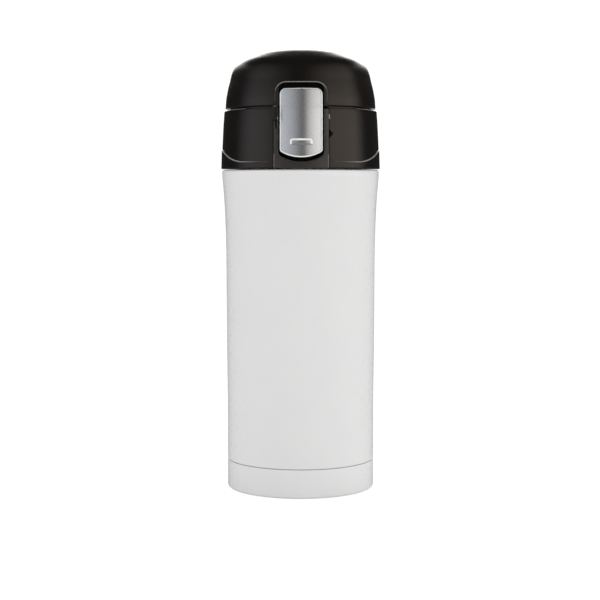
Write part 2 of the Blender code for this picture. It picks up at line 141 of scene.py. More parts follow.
def dense(outline, step):
    """The closed outline with no run longer than step."""
    out = []
    for p, q in zip(outline, outline[1:] + outline[:1]):
        count = max(1, math.ceil(math.dist(p, q) / step))
        out += [tuple(a + (b - a) * k / count for a, b in zip(p, q)) for k in range(count)]
    return out


# Meshes


def mesh_from(name, points, faces, sharp=32):
    mesh = bpy.data.meshes.new(name)
    bm = bmesh.new()
    verts = [bm.verts.new(Vector(p) * MM) for p in points]
    for face in faces:
        corners = list(dict.fromkeys(face))
        if len(corners) > 2:
            bm.faces.new([verts[k] for k in corners])
    bmesh.ops.remove_doubles(bm, verts=bm.verts, dist=1e-7)
    bmesh.ops.dissolve_degenerate(bm, edges=bm.edges, dist=1e-8)
    bmesh.ops.recalc_face_normals(bm, faces=bm.faces)
    bm.to_mesh(mesh)
    bm.free()
    mesh.shade_smooth()
    mesh.set_sharp_from_angle(angle=math.radians(sharp))
    obj = bpy.data.objects.new(name, mesh)
    bpy.context.scene.collection.objects.link(obj)
    return obj


def skin(name, loops, ring, sharp=32):
    """A closed solid through loops of equal count. An open run gets a face at each end."""
    size = len(loops[0])
    points = [p for loop in loops for p in loop]
    faces = []
    for i in range(len(loops) if ring else len(loops) - 1):
        a, b = i * size, (i + 1) % len(loops) * size
        for k in range(size):
            n = (k + 1) % size
            faces.append([a + k, a + n, b + n, b + k])
    if not ring:
        faces.append(list(range(size)))
        faces.append(list(range(len(points) - 1, len(points) - size - 1, -1)))
    return mesh_from(name, points, faces, sharp)


def at(r, z, a):
    """A point at angle a from the front, turning towards +X."""
    return (r * math.sin(a), -r * math.cos(a), z)


def turned(name, profile, columns=ROUND, sharp=32):
    """A solid turned about Z from a closed (radius, height) outline."""
    loops = [[at(r, z, 2 * math.pi * k / columns) for r, z in profile] for k in range(columns)]
    return skin(name, loops, True, sharp)


def prism_x(name, outline, x0, x1, edge=0.25):
    """An extruded (y, z) outline with its edges rounded."""
    obj = skin(name, [[(x, y, z) for y, z in outline] for x in (x0, x1)], False)
    return bevelled(obj, edge)


def prism_y(name, outline, y0, y1, edge=0.0):
    obj = skin(name, [[(x, y, z) for x, z in outline] for y in (y0, y1)], False)
    return bevelled(obj, edge)


def block(name, x0, x1, y0, y1, z0, z1, edge=0.25):
    return prism_y(name, [(x0, z0), (x1, z0), (x1, z1), (x0, z1)], y0, y1, edge)


def round_edges(bm, edges, width, segments):
    bmesh.ops.bevel(
        bm, geom=edges, offset=width * MM, segments=segments, profile=0.5, affect="EDGES", clamp_overlap=True
    )


def bevelled(obj, width, segments=3, angle=35):
    """Rounds the edges that turn by more than the angle."""
    if not width:
        return obj
    bm = bmesh.new()
    bm.from_mesh(obj.data)
    sharp = [e for e in bm.edges if e.is_manifold and e.calc_face_angle() > math.radians(angle)]
    round_edges(bm, sharp, width, segments)
    bm.to_mesh(obj.data)
    bm.free()
    obj.data.shade_smooth()
    obj.data.set_sharp_from_angle(angle=math.radians(40))
    return obj


def tube(name, path, radius, sides=12):
    """A round wire along a path."""
    path = [Vector(p) for p in path]
    loops = []
    side = Vector((0.31, 0.52, 0.79))
    for i, p in enumerate(path):
        along = (path[min(i + 1, len(path) - 1)] - path[max(i - 1, 0)]).normalized()
        side = (side - along * side.dot(along)).normalized()
        other = along.cross(side)
        turn = [2 * math.pi * k / sides for k in range(sides)]
        loops.append([p + radius * (math.cos(a) * side + math.sin(a) * other) for a in turn])
    return skin(name, loops, False, 50)


def ridge_section(root, foot, crest):
    """A thread ridge's (r, dz) section, from inside its wall out to its crest."""
    lower = [(root, -0.95), (foot, -0.8), (crest, -0.3, 0.3)]
    return rounded(lower + [(crest, 0.3, 0.3), (foot, 0.8), (root, 0.95)])


def helix_ridge(name, section, z_start, turn_from, turn_to, base, columns=ROUND):
    """A thread ridge: its section along a helix, its ends fading into the base radius."""
    steps = round((turn_to - turn_from) * columns)
    fade_steps = columns / 9
    loops = []
    for k in range(steps + 1):
        turn = turn_from + (turn_to - turn_from) * k / steps
        a = math.pi / 2 + 2 * math.pi * turn
        fade = min(1.0, 0.04 + min(k, steps - k) / fade_steps)
        fade = fade * fade * (3 - 2 * fade)
        loops.append([at(base + (r - base) * fade, z_start + PITCH * turn + dz, a) for r, dz in section])
    return skin(name, loops, False)


def cut(obj, *cutters):
    """Takes the cutters out of obj for good."""
    for cutter in cutters:
        modifier = obj.modifiers.new("cut", "BOOLEAN")
        modifier.operation = "DIFFERENCE"
        modifier.solver = "EXACT"
        modifier.object = cutter
    graph = bpy.context.evaluated_depsgraph_get()
    result = bpy.data.meshes.new_from_object(obj.evaluated_get(graph))
    obj.modifiers.clear()
    obj.data = result
    obj.data.shade_smooth()
    obj.data.set_sharp_from_angle(angle=math.radians(32))
    for cutter in cutters:
        bpy.data.objects.remove(cutter, do_unlink=True)
    return obj


def joined(obj, *others):
    """One object of several closed shapes that overlap."""
    bm = bmesh.new()
    for piece in (obj, *others):
        bm.from_mesh(piece.data)
    bm.to_mesh(obj.data)
    bm.free()
    for piece in others:
        bpy.data.objects.remove(piece, do_unlink=True)
    return obj


def paint_highlights_and_marks(obj, test):
    """Gives the faces that pass test, which takes centre, mm, and normal, the piece's second material: the
    light colour of painted highlights and marks.
    """
    for face in obj.data.polygons:
        if test(face.center / MM, face.normal):
            face.material_index = 1
    return obj


# The whole piece in the light colour of painted highlights and marks.
def all_highlight_and_mark(obj):
    return paint_highlights_and_marks(obj, lambda centre, normal: True)


def done(obj, body, slot, *nodes, edge=None):
    """Gives a finished piece its material, or two (edge: the light colour of its painted highlights and
    marks), and its place in the frame.
    """
    obj.data.materials.append(MATERIALS[slot])
    if edge:
        obj.data.materials.append(MATERIALS[edge])
    if nodes:
        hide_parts(*nodes)
    if body:
        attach(obj, body)
    return obj


# Pieces laid on the lid's curved wall


LID_LINE = spline(
    [
        (143.0, 35.26), (147.0, 35.18), (151.0, 35.08), (157.0, 34.8), (161.0, 34.6),
        (165.0, 34.35), (168.9, 34.03), (170.0, 33.85), (174.0, 33.3), (177.0, 32.8),
        (179.5, 32.25), (182.0, 31.6), (184.0, 31.05),
    ],
    0.5,
)


def lid_radius(z):
    if z <= LID_LINE[0][0]:
        return LID_LINE[0][1]
    for (z0, r0), (z1, r1) in zip(LID_LINE, LID_LINE[1:]):
        if z <= z1:
            return r0 + (r1 - r0) * (z - z0) / (z1 - z0)
    return LID_LINE[-1][1]


def on_lid(x, z, height):
    """The point at (x, z) that stands height above the lid's wall, on the front."""
    r = lid_radius(z) + height
    return (x, -math.sqrt(r * r - x * x), z)


def inset(outline, distance):
    """An anticlockwise closed outline moved inwards by distance."""
    out = []
    n = len(outline)
    for i, p in enumerate(outline):
        before, after = Vector(outline[i - 1]), Vector(outline[(i + 1) % n])
        along = (Vector(p) - before).normalized() + (after - Vector(p)).normalized()
        along.normalize()
        out.append((p[0] - along.y * distance, p[1] + along.x * distance))
    return out


def patch(name, outline, steps, rings=10, depth=-1.2, surface=on_lid):
    """A closed slab on the lid's wall. steps are (inset, height) from its edge up to its flat face."""
    loops = [[surface(x, z, depth) for x, z in outline]]
    flat = outline
    for distance, height in steps:
        flat = inset(outline, distance) if distance else outline
        loops.append([surface(x, z, height) for x, z in flat])
    top = steps[-1][1]
    cx = sum(p[0] for p in flat) / len(flat)
    cz = sum(p[1] for p in flat) / len(flat)
    for k in range(1, rings + 1):
        scale = 1 - k / (rings + 0.3)
        loops.append([surface(cx + (x - cx) * scale, cz + (z - cz) * scale, top) for x, z in flat])
    return skin(name, loops, False)


def band(name, outer, inner, section):
    """A solid strip on the lid's wall between two open outlines of equal count.

    section lists ("o" or "i", distance from that outline towards the other, height).
    """
    loops = []
    for o, i in zip(outer, inner):
        o, i = Vector(o), Vector(i)
        across = (i - o).normalized()
        loop = []
        for edge, distance, height in section:
            x, z = o + across * distance if edge == "o" else i - across * distance
            loop.append(on_lid(x, z, height))
        loops.append(loop)
    return skin(name, loops, False)


def bead(name, path, widths, rise, surface):
    """A half-round strip along a path of (u, v) on a surface, its width given at each point."""
    loops = []
    for i, (u, v) in enumerate(path):
        before, after = path[max(i - 1, 0)], path[min(i + 1, len(path) - 1)]
        along = Vector((after[0] - before[0], after[1] - before[1])).normalized()
        half = widths[i] / 2
        loop = []
        for k in range(7):
            a = math.pi * k / 6
            side = half * math.cos(a)
            height = rise * math.sin(a) * min(1.0, widths[i] / rise)
            loop.append(surface(u - along.y * side, v + along.x * side, height))
        loop.append(surface(u + along.y * half, v - along.x * half, -0.3))
        loop.append(surface(u - along.y * half, v + along.x * half, -0.3))
        loops.append(loop)
    return skin(name, loops, False, 60)


def quarter(x, z, radius, start, steps):
    turn = [math.radians(start + 90 * k / steps) for k in range(steps + 1)]
    return [(x + radius * math.cos(a), z + radius * math.sin(a)) for a in turn]


def evenly(path, count):
    """An open path as count points, evenly spaced along it."""
    lengths = [0.0]
    for p, q in zip(path, path[1:]):
        lengths.append(lengths[-1] + math.dist(p, q))
    out, j = [], 0
    for k in range(count):
        s = lengths[-1] * k / (count - 1)
        while j < len(path) - 2 and lengths[j + 1] < s:
            j += 1
        t = (s - lengths[j]) / (lengths[j + 1] - lengths[j])
        out.append(tuple(a + (b - a) * min(t, 1.0) for a, b in zip(path[j], path[j + 1])))
    return out


# Materials


class Nodes:
    """Short forms for building a material's nodes."""

    def __init__(self, name):
        self.material = bpy.data.materials.new(name)
        self.material.use_nodes = True
        self.tree = self.material.node_tree
        self.shader = self.tree.nodes["Principled BSDF"]
        self.place = self.add("ShaderNodeTexCoord").outputs["Object"]

    def add(self, kind, **settings):
        node = self.tree.nodes.new(kind)
        for key, value in settings.items():
            setattr(node, key, value)
        return node

    def link(self, a, b):
        self.tree.links.new(a, b)

    def set(self, **values):
        for key, value in values.items():
            self.shader.inputs[key.replace("_", " ")].default_value = value

    def stretched(self, scale):
        node = self.add("ShaderNodeMapping")
        node.inputs["Scale"].default_value = scale
        self.link(self.place, node.inputs["Vector"])
        return node.outputs["Vector"]

    def noise(self, scale, detail=3.0, rough=0.55, vector=None):
        node = self.add("ShaderNodeTexNoise")
        node.inputs["Scale"].default_value = scale
        node.inputs["Detail"].default_value = detail
        node.inputs["Roughness"].default_value = rough
        self.link(vector or self.place, node.inputs["Vector"])
        return node.outputs["Fac"]

    def spread(self, value, low, high, start=0.3, stop=0.7):
        node = self.add("ShaderNodeMapRange")
        node.inputs["From Min"].default_value = start
        node.inputs["From Max"].default_value = stop
        node.inputs["To Min"].default_value = low
        node.inputs["To Max"].default_value = high
        self.link(value, node.inputs["Value"])
        return node.outputs["Result"]

    def colours(self, value, low, high):
        node = self.add("ShaderNodeMix", data_type="RGBA")
        self.link(value, node.inputs["Factor"])
        node.inputs[6].default_value = (*low, 1)
        node.inputs[7].default_value = (*high, 1)
        self.link(node.outputs[2], self.shader.inputs["Base Color"])

    def bump(self, height, strength, distance, below=None):
        node = self.add("ShaderNodeBump")
        node.inputs["Strength"].default_value = strength
        node.inputs["Distance"].default_value = distance * MM
        self.link(height, node.inputs["Height"])
        if below:
            self.link(below, node.inputs["Normal"])
        self.link(node.outputs["Normal"], self.shader.inputs["Normal"])
        return node.outputs["Normal"]


def white_coat():
    m = Nodes("white_coat")
    m.set(Coat_Weight=0.35, Coat_Roughness=0.05, Coat_IOR=1.5, IOR=1.4, Specular_IOR_Level=0.1)
    m.colours(m.spread(m.noise(60), 0, 1), (0.803, 0.803, 0.803), (0.817, 0.815, 0.814))
    m.link(m.spread(m.noise(500, 2), 0.26, 0.32), m.shader.inputs["Roughness"])
    m.bump(m.noise(420, 1.5, 0.4), 0.02, 0.004)
    return m.material


def black_plastic(name, dark, light, rough_low, rough_high, grain, grain_depth):
    m = Nodes(name)
    m.set(IOR=1.5, Specular_Tint=(1.0, 0.87, 0.78, 1.0))
    m.colours(m.spread(m.noise(140, 4), 0, 1), dark, light)
    m.link(m.spread(m.noise(420, 4), rough_low, rough_high), m.shader.inputs["Roughness"])
    m.bump(m.noise(grain, 3, 0.6), 0.35, grain_depth)
    return m.material


def silver_satin():
    m = Nodes("silver_satin")
    m.set(Metallic=0.84, IOR=1.5)
    grain = m.noise(1.0, 3, 0.6, m.stretched((4200, 4200, 700)))
    m.colours(m.spread(grain, 0, 1), (0.675, 0.68, 0.69), (0.7, 0.705, 0.715))
    m.link(m.spread(grain, 0.24, 0.29), m.shader.inputs["Roughness"])
    m.bump(grain, 0.01, 0.001)
    return m.material


def painted_highlight_material(name, low, high):
    """A light colour painted on thin lips and fillets: a painted highlight where an edge would catch the
    light.
    """
    m = Nodes(name)
    m.set(IOR=1.5)
    grain = m.noise(900, 3)
    m.colours(m.spread(grain, 0, 1), low, high)
    m.link(m.spread(grain, 0.18, 0.26), m.shader.inputs["Roughness"])
    m.bump(grain, 0.04, 0.004)
    return m.material


def silicone_grey():
    m = Nodes("silicone_grey")
    m.set(Subsurface_Weight=0.25, Subsurface_Radius=(0.004, 0.004, 0.0045), IOR=1.42)
    m.colours(m.spread(m.noise(180, 4), 0, 1), (0.50, 0.51, 0.52), (0.56, 0.57, 0.575))
    m.link(m.spread(m.noise(700, 3), 0.45, 0.6), m.shader.inputs["Roughness"])
    m.bump(m.noise(2400, 3), 0.25, 0.02)
    return m.material


def turned_steel(name, low, high, rough_low, rough_high):
    """Steel with fine rings left by spinning and brushing."""
    m = Nodes(name)
    m.set(Metallic=1.0)
    rings = m.noise(1.0, 3, 0.6, m.stretched((90, 90, 5200)))
    m.colours(m.spread(rings, 0, 1), low, high)
    m.link(m.spread(rings, rough_low, rough_high), m.shader.inputs["Roughness"])
    m.bump(rings, 0.15, 0.01)
    return m.material


def dull_metal(name, low, high, rough_low, rough_high, scale):
    m = Nodes(name)
    m.set(Metallic=1.0)
    grain = m.noise(scale, 4, 0.65)
    m.colours(m.spread(grain, 0, 1), low, high)
    m.link(m.spread(grain, rough_low, rough_high), m.shader.inputs["Roughness"])
    m.bump(grain, 0.3, 0.02)
    return m.material


def seal_bead():
    m = Nodes("seal_bead")
    m.set(IOR=1.52)
    m.colours(m.spread(m.noise(600, 4), 0, 1), (0.24, 0.22, 0.18), (0.33, 0.3, 0.25))
    m.link(m.spread(m.noise(900, 2), 0.15, 0.3), m.shader.inputs["Roughness"])
    m.bump(m.noise(500, 2), 0.2, 0.03)
    return m.material


MATERIALS = {
    "white_coat": white_coat(),
    "bare_steel": turned_steel("bare_steel", (0.56, 0.56, 0.55), (0.66, 0.66, 0.65), 0.22, 0.36),
    "black_satin": black_plastic(
        "black_satin", (0.0062, 0.0054, 0.005), (0.0072, 0.0063, 0.0058), 0.22, 0.27, 2200, 0.0012
    ),
    "black_gloss": black_plastic(
        "black_gloss", (0.034, 0.032, 0.031), (0.038, 0.036, 0.035), 0.24, 0.3, 1800, 0.002
    ),
    "black_inner": black_plastic(
        "black_inner", (0.008, 0.0078, 0.0076), (0.011, 0.0107, 0.0105), 0.4, 0.5, 2200, 0.01
    ),
    # Light grey painted highlights on black edges; also the colour of the raised index mark beside the
    # button.
    "grey_painted_highlight_and_mark": painted_highlight_material("grey_painted_highlight_and_mark", (0.2, 0.195, 0.188), (0.26, 0.255, 0.245)),
    "silver_satin": silver_satin(),
    # Near-white painted highlights on the button's rim and the thumb bar's lip.
    "white_painted_highlight": painted_highlight_material("white_painted_highlight", (0.965, 0.965, 0.97), (0.99, 0.99, 0.99)),
    "silicone_grey": silicone_grey(),
    "pin_steel": dull_metal("pin_steel", (0.62, 0.62, 0.62), (0.7, 0.7, 0.7), 0.14, 0.24, 1400),
    "getter_alloy": dull_metal("getter_alloy", (0.28, 0.27, 0.26), (0.38, 0.37, 0.35), 0.5, 0.7, 900),
    "seal_bead": seal_bead(),
}

# Flask


def make_shell():
    wall = spline(
        [
            (33.0, 13.6), (33.0, 26.0), (33.0, 40.0), (33.13, 53.0), (33.28, 68.0), (33.36, 88.0),
            (33.4, 103.0), (33.65, 116.0), (34.08, 127.0), (34.6, 134.5), (35.05, 139.6),
        ],
        2.0,
    )
    shoulder = rounded(
        [
            (35.05, 139.6), (35.2, 143.0, 1.2), (33.0, 143.0), (24.0, 143.0), (22.4, 143.2, 1.5),
            (22.4, 150.0), (22.4, 157.0, 0.25), (21.8, 157.0, 0.25), (21.8, 150.0),
            (21.8, 142.4, 1.6), (30.0, 142.4), (34.5, 142.4, 2.0), (34.3, 134.0), (32.8, 103.0),
            (32.4, 40.0), (32.4, 13.7), (31.4, 13.4), (31.4, 4.4, 0.2), (32.0, 4.4, 0.2),
            (32.0, 13.15, 0.1), (33.0, 13.15, 0.14),
        ]
    )
    shell = turned("mug_shell", wall[:-1] + shoulder)
    thread = helix_ridge("mug_neck_thread", ridge_section(22.1, 22.4, 23.4), 147.6, 0.0, 1.5, 22.2)
    done(joined(shell, thread), "flask", "white_coat", "outer_shell")


def make_base():
    profile = rounded(
        [
            (0.0, 0.0), (24.0, 0.0, 0.5), (24.6, 0.4, 0.3), (27.4, 0.4, 0.3), (28.0, 0.0, 0.5),
            (31.0, 0.0, 3.0), (33.0, 0.25, 2.2), (33.0, 7.0), (33.0, 12.85, 0.14),
            (32.3, 12.85, 0.2), (32.3, 2.0, 1.0), (0.0, 1.4),
        ]
    )
    done(turned("mug_base", profile), "flask", "white_coat", "base_cup")


def make_flask_inside():
    profile = rounded(
        [
            (0.0, 9.4), (26.0, 9.4, 2.0), (29.6, 10.2, 3.0), (29.6, 70.0), (29.6, 136.0, 4.0),
            (21.0, 141.2, 2.5), (21.0, 157.3, 0.2), (22.4, 157.3, 0.2), (22.4, 157.9, 0.25),
            (20.5, 157.9, 0.3), (20.5, 140.9, 2.5), (29.0, 135.7, 4.0), (29.0, 70.0),
            (29.0, 10.8, 3.0), (25.8, 10.0, 2.0), (0.0, 10.0),
        ]
    )
    done(turned("mug_liner", profile), "flask", "bare_steel", "inner_liner")
    bottom = rounded(
        [
            (1.3, 6.4, 0.1), (5.0, 6.4, 0.8), (6.0, 5.6, 0.8), (30.5, 5.6, 0.4), (30.5, 4.6, 0.1),
            (31.1, 4.6, 0.1), (31.1, 6.2, 0.8), (6.4, 6.2, 0.8), (5.4, 7.0, 0.8), (1.3, 7.0, 0.1),
        ]
    )
    done(turned("mug_outer_bottom", bottom, 96), "flask", "bare_steel", "outer_bottom")
    plug = rounded([(0.0, 5.4), (1.6, 5.4, 1.2), (2.2, 6.1, 0.2), (1.0, 6.1), (1.0, 7.2, 0.3), (0.0, 7.2)])
    done(turned("mug_port_bead", plug, 40), "flask", "seal_bead", "vacuum_port_seal")
    cup = [(0.0, 6.6), (4.0, 6.6, 0.5), (4.0, 9.1, 0.3), (3.4, 9.1, 0.1), (3.2, 8.9, 0.1), (0.0, 8.9)]
    getter = turned("mug_getter", rounded(cup), 48)
    low, high = box_mm("getter_capsule")
    for vert in getter.data.vertices:
        vert.co.x += (low[0] + high[0]) / 2 * MM
    done(getter, "flask", "getter_alloy", "getter_capsule")


def make_gaskets():
    profile = rounded(
        [
            (20.6, 158.2, 0.3), (21.5, 158.45, 0.3), (22.6, 158.2, 0.4), (23.2, 159.05, 0.5),
            (22.6, 159.9, 0.4), (21.5, 159.6, 0.3), (20.6, 159.9, 0.3),
        ]
    )
    done(turned("mug_neck_gasket", profile, 144), "seal_ring", "silicone_grey", "neck_gasket")
    profile = rounded([(20.7, 161.9, 0.3), (22.9, 161.9, 0.3), (22.9, 162.7, 0.3), (20.7, 162.7, 0.3)])
    done(turned("mug_spout_gasket", profile, 120), "lid", "silicone_grey", "mouthpiece_gasket")


# Lid


SKIRT_PROUD = 0.24
SKIRT_FRONT, SKIRT_SIDE = 146.2, 151.7
EDGE = 0.16  # rounding of the collar's top edge


def smooth(value, start, stop):
    t = min(1.0, max(0.0, (value - start) / (stop - start)))
    return t * t * (3 - 2 * t)


def skirt(a):
    """(top height, how far proud) of the collar's lower skirt at angle a from the front."""
    side = abs(math.sin(a))  # 0 at the front and back, 1 at the sides
    lean = math.degrees(math.asin(min(1.0, side)))
    top = SKIRT_FRONT + (SKIRT_SIDE - SKIRT_FRONT) * smooth(lean, 44, 87) ** 1.15
    proud = SKIRT_PROUD * smooth(lean, 14, 56)
    return top, proud


def seam_low(a):
    """The collar's top edge: the seam is thinnest at the front."""
    return SEAM_LOW + 0.4 * smooth(math.cos(a), -0.1, 0.8)


def collar_loop(a_of_r, clamp=None):
    """The collar wall's section as a closed loop. a_of_r gives the angle at a radius."""
    top, proud = skirt(a_of_r(35.0))
    edge = seam_low(a_of_r(34.0))
    wall = lid_radius
    bore, lip = 32.2, 31.8
    rows = [(bore, LID_BOTTOM), (bore + 0.3, LID_BOTTOM)]
    low = wall(LID_BOTTOM) + proud + 0.06
    rows += quarter(low - 0.4, LID_BOTTOM + 0.4, 0.4, -90, 5)
    for k in range(1, 9):
        z = LID_BOTTOM + 0.4 + (top - 0.1 - LID_BOTTOM - 0.4) * k / 8
        rows.append((wall(z) + proud + 0.06 * (1 - k / 8), z))
    for share, rise in ((0.92, 0.02), (0.7, 0.09), (0.35, 0.13), (0.12, 0.17), (0.02, 0.24)):
        rows.append((wall(top + rise) + proud * share, top + rise))
    start = top + 0.4
    stop = edge - EDGE
    for k in range(25):
        z = start + (stop - start) * k / 24
        rows.append((wall(z), z))
    rows += quarter(wall(edge) - EDGE, edge - EDGE, EDGE, 0, 6)[1:]
    rows += [(bore, edge), (lip + 0.15, edge - 0.06), (lip, edge - 0.25)]
    rows += [(lip, 167.5), (lip, 165.5), (lip, 163.2), (bore, 161.8), (bore, 152.0)]
    if clamp:
        rows = [(r, min(z, clamp)) for r, z in rows]
    return [at(r, z, a_of_r(r)) for r, z in rows]


def make_collar():
    gap = FRAME_OUTER + 0.03
    reach = 0.12  # share of the half turn over which the columns fan out from the cut's flat sides
    notch = math.radians(14.4)
    floor = 165.3
    half = []
    for share in (k / 110 for k in range(111)):

        def angle(r, share=share):
            end = math.asin(gap / r)
            typical = math.asin(gap / 35.0)
            fan = max(0.0, 1 - share / reach)
            return typical + (math.pi - notch - typical) * share + (end - typical) * fan

        half.append(collar_loop(angle))
    half.append(collar_loop(lambda r: math.pi - notch, floor))
    for k in range(1, 13):
        half.append(collar_loop(lambda r, k=k: math.pi - notch * (1 - k / 12), floor))
    other = [[(-x, y, z) for x, y, z in loop] for loop in reversed(half[:-1])]
    wall = skin("mug_collar", half + other, False)
    bevel_ends(wall)
    arrow = []
    for base, tip in ((2.0, 2.0), (-1.1, -0.35)):
        arrow.append([on_lid(11.9, 156.2, base), on_lid(13.8, 158.2, tip), on_lid(11.9, 160.2, base)])
    cut(wall, skin("arrow", arrow, False))

    # Painted highlight: the collar's top edge near the sides gets the light grey, standing in for the light
    # its rounding would catch.
    def on_painted_highlight(centre, normal):
        a = math.atan2(centre.x, -centre.y)
        r = math.hypot(centre.x, centre.y)
        return centre.z > seam_low(a) - EDGE and r > lid_radius(centre.z) - EDGE and abs(math.sin(a)) > 0.7

    paint_highlights_and_marks(wall, on_painted_highlight)
    pieces = [hinge_ear(side) for side in (-1, 1)]
    # A raised index mark. It and the skirt's painted highlights take the light grey.
    dash = bead("dash", [(12.05, 164.5 + 0.2 * k) for k in range(11)], [0.5] * 11, 0.16, on_lid)
    lines = [all_highlight_and_mark(line) for line in (skirt_painted_highlight(-1), skirt_painted_highlight(1), dash)]
    done(joined(wall, make_deck(), *pieces, *lines), "lid", "black_satin", "lid_collar", edge="grey_painted_highlight_and_mark")


def skirt_painted_highlight(side):
    """A painted highlight along the skirt's upper edge: a low bead in the light grey, thinning out towards
    the front and the back.
    """
    mean = 35.3
    path, widths = [], []
    for k in range(121):
        lean = 24 + (156 - 24) * k / 120
        a = math.radians(lean)
        path.append((mean * a, skirt(a)[0] + 0.12))
        from_end = min(lean, 180 - lean)
        widths.append(0.06 + 0.5 * smooth(from_end, 26, 54))

    def surface(s, z, height):
        a = s / mean
        return at(lid_radius(z) + skirt(a)[1] * 0.75 + height, z, side * a)

    return bead(f"skirt_painted_highlight_{side}", path, widths, 0.14, surface)


def bevel_ends(obj):
    """Rounds the upright edges where the wall stops at the button frame."""
    bm = bmesh.new()
    bm.from_mesh(obj.data)
    ends = [f for f in bm.faces if len(f.verts) > 20]
    edges = list({e for f in ends for e in f.edges})
    round_edges(bm, edges, 0.12, 2)
    bm.to_mesh(obj.data)
    bm.free()
    obj.data.shade_smooth()
    obj.data.set_sharp_from_angle(angle=math.radians(32))


def make_deck():
    """The floor of the well round the spout, cut straight across behind the button."""
    chord, rim = 26.0, 32.0
    corner = math.acos(chord / rim)
    angles = [2 * math.pi * k / ROUND for k in range(ROUND)]
    angles = sorted(angles + [corner, 2 * math.pi - corner])
    loops = []
    for a in angles:
        near_front = math.cos(a) > math.cos(corner) - 1e-9
        outer = chord / math.cos(a) if near_front else rim
        section = rounded([(20.8, 163.0, 0.2), (outer, 163.0), (outer, 165.0), (20.8, 165.0, 0.35)], 4)
        loops.append([at(r, z, a) for r, z in section])
    return skin("deck", loops, True)


def hinge_ear(side):
    x0, x1 = sorted((side * 8.3, side * 11.6))
    eye = [(HINGE_Y + 2.6 * math.cos(a), HINGE_Z + 2.6 * math.sin(a)) for a in arc_angles(-25, 150, 16)]
    outline = [(31.2, 158.6), (34.2, 158.6)] + eye + [(32.6, 168.7), (31.2, 168.4)]
    return prism_x(f"ear_{side}", outline, x0, x1, 0.3)


def arc_angles(start, stop, steps):
    return [math.radians(start + (stop - start) * k / steps) for k in range(steps + 1)]


def make_thread_ring():
    profile = rounded(
        [
            (23.9, 146.4, 0.4), (26.0, 146.4, 0.4), (26.0, 155.0), (26.0, 162.7, 0.3),
            (23.9, 162.7, 0.3), (23.9, 155.0),
        ]
    )
    ring = turned("mug_thread_ring", profile, 144)
    thread = helix_ridge("ring_thread", ridge_section(24.2, 23.9, 22.75), 150.1, -0.2, 0.8, 24.1, 144)
    done(joined(ring, thread), "lid", "black_inner", "thread_ring")


def oval_lip(name, cy, z, half_x, half_y, width, count):
    """A round lip laid round an oval hole in the mouthpiece's plate."""
    loops = []
    for k in range(count):
        a = 2 * math.pi * k / count
        out = Vector((half_y * math.cos(a), half_x * math.sin(a), 0)).normalized()
        base = Vector((half_x * math.cos(a), cy + half_y * math.sin(a), 0))
        section = [(-0.25, -0.9), (width, -0.9), (width, -0.05), (width * 0.8, 0.18), (width * 0.4, 0.3)]
        section += [(0.05, 0.22), (-0.18, 0.0), (-0.25, -0.3)]
        loops.append([tuple(base + out * d + Vector((0, 0, z + h))) for d, h in section])
    return skin(name, loops, True, 60)


def make_mouthpiece():
    profile = rounded(
        [
            (18.3, 149.0, 0.3), (19.6, 149.0, 0.3), (19.9, 149.9, 0.6), (19.9, 155.0),
            (19.9, 160.2, 0.2), (23.2, 160.2, 0.3), (23.2, 161.6, 0.3), (20.4, 161.6, 0.2),
            (20.4, 166.5, 4.0), (17.9, 174.2, 8.0), (15.0, 178.05, 1.1), (13.2, 178.0, 0.7),
            (12.8, 176.0, 0.6), (6.0, 176.0), (0.0, 176.0), (0.0, 174.2), (6.0, 174.2),
            (14.3, 174.2, 1.5), (18.6, 166.5, 5.0), (18.3, 160.0),
        ]
    )
    body = turned("mug_mouthpiece", dense(profile, 2.0), 144)
    turn = [2 * math.pi * (k + 0.5) / 48 for k in range(48)]
    drink = [(6.0 * math.cos(a), -7.0 + 4.2 * math.sin(a)) for a in turn]
    vent = [(1.3 * math.cos(a), 8.6 + 1.3 * math.sin(a)) for a in turn[::2]]
    cutters = [
        skin(f"hole_{i}", [[(x, y, z) for x, y in outline] for z in (170.0, 179.0)], False)
        for i, outline in enumerate((drink, vent))
    ]
    cut(body, *cutters)
    drink_lip = oval_lip("drink_lip", -7.0, 176.0, 6.0, 4.2, 0.9, 64)
    vent_lip = oval_lip("vent_lip", 8.6, 176.0, 1.3, 1.3, 0.5, 32)
    done(joined(body, drink_lip, vent_lip), "lid", "black_inner", "mouthpiece")


# Button frame, button, lock


def bezel_outlines(count=121):
    """(outer, inner): the frame's two edges on the collar, from its left top round to its right top."""
    top = 168.75
    bottom = LID_BOTTOM + 0.15
    sill = BUTTON_BOTTOM - 1.75
    left = [(-FRAME_INNER, top), (-FRAME_INNER, 152.0), (-FRAME_INNER, 150.2)]
    bow = [(FRAME_INNER * (k / 12 - 1), sill + 3.0 * abs(k / 12 - 1) ** 2.2) for k in range(1, 24)]
    inner = evenly(left + bow + [(FRAME_INNER, 150.2), (FRAME_INNER, top)], count)
    corner = next(k for k, p in enumerate(inner) if p[1] < 149.6)
    outer = []
    for k in range(count):
        mirror = count - 1 - k
        edge = min(k, mirror)
        if edge <= corner:
            z = top + (bottom - top) * edge / corner
            outer.append((-FRAME_OUTER if k <= mirror else FRAME_OUTER, z))
        else:
            x = -FRAME_OUTER + 2 * FRAME_OUTER * (k - corner) / (count - 1 - 2 * corner)
            outer.append((x, bottom))
    return outer, inner


